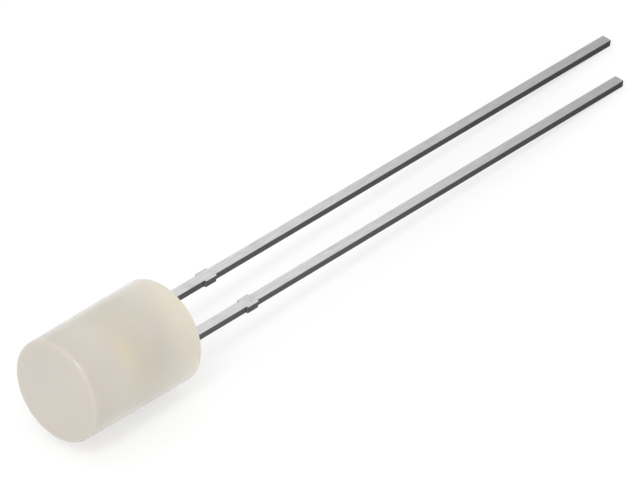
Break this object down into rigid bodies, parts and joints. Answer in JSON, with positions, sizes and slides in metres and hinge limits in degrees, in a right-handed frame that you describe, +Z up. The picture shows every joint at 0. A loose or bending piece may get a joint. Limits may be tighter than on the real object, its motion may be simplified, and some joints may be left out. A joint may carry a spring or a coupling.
{
  "type": "through hole led",
  "caption": "Flat topped cylindrical light emitting diode in milky diffused epoxy, with a pair of long straight leads for soldering through a circuit board.",
  "frame": {"origin": "middle of the underside of the bounding box, on the surface that the LED lies on", "axes": "+Z up; +Y from the body along the leads towards their tips; the flat top looks towards -Y; anode lead at -X, cathode lead at +X"},
  "size_m": [0.005, 0.0386, 0.0054],
  "materials": {
    "diffused_epoxy": "milky, diffused, satin, slightly translucent",
    "tinned_steel": "dull tin plate over stamped steel",
    "chip_crystal": "polished crystal",
    "silver_glue": "silver filled, dull",
    "phosphor_gel": "yellow phosphor powder in clear gel, dull",
    "gold_wire": "drawn gold, bright"
  },
  "bodies": {
    "root": {"epoxy_body": "diffused_epoxy", "anode_lead": "tinned_steel", "cathode_lead": "tinned_steel", "led_chip": "chip_crystal", "chip_glue": "silver_glue", "cup_phosphor": "phosphor_gel", "bond_wire": "gold_wire"}
  },
  "joints": []
}
